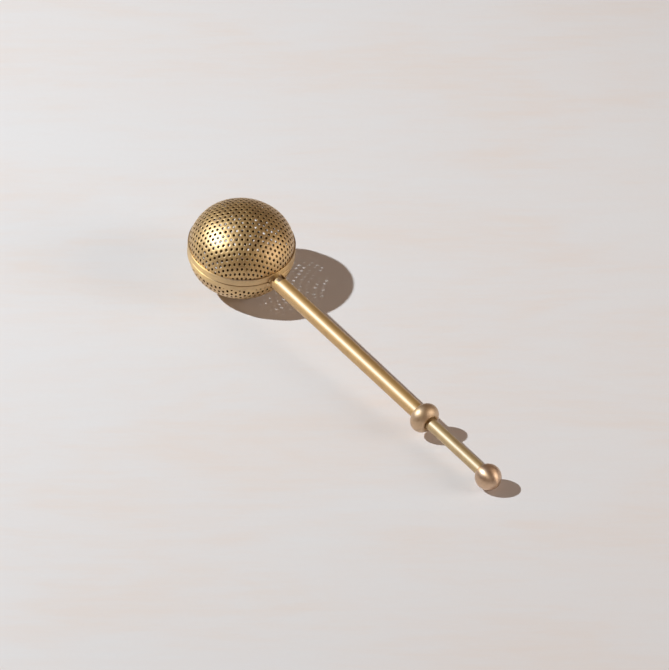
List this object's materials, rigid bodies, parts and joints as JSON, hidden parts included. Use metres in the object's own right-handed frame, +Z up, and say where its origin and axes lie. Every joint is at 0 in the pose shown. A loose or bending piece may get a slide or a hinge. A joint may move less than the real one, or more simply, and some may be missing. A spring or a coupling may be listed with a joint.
{
  "type": "tea infuser",
  "caption": "Perforated ball strainer in two halves on a long handle; pushing the end knob slides the upper half away to open it, and a spring closes it.",
  "frame": {"origin": "centre of the bounding box's bottom face, on the table that the infuser lies on", "axes": "+X along the handle from the ball to the knob, +Z up; the infuser lies on its lower dome and its knob, so the handle slopes down towards the knob"},
  "size_m": [0.2006, 0.048, 0.0403],
  "materials": {
    "dome_brass": "antique satin brass sheet, perforated",
    "band_brass": "satin brass with fine lengthwise brushing",
    "tube_brass": "polished brass tube",
    "rod_brass": "polished pale brass rod",
    "bead_brass": "satin rosy brass, turned",
    "bush_brass": "turned brass",
    "spring_steel": "drawn stainless steel"
  },
  "bodies": {
    "handle": {"lower_strainer_dome": "dome_brass", "lower_rim_ring": "band_brass", "braze_fillets": "band_brass", "handle_tube": "tube_brass", "front_guide_bush": "bush_brass", "return_spring": "spring_steel", "rear_guide_bush": "bush_brass", "grip_collar": "bead_brass"},
    "slider": {"upper_strainer_dome": "dome_brass", "upper_rim_ring": "band_brass", "ring_lug": "band_brass", "push_rod": "rod_brass", "spring_washer": "spring_steel", "end_knob": "bead_brass", "knob_stud": "spring_steel"}
  },
  "joints": [
    {"name": "push_slide", "type": "slide", "parent": "handle", "child": "slider", "axis": [-0.9965, 0, 0.0836], "range_m": [0, 0.034], "stiffness_N_per_m": 110, "springref_m": -0.018, "deforming": ["return_spring"]}
  ]
}
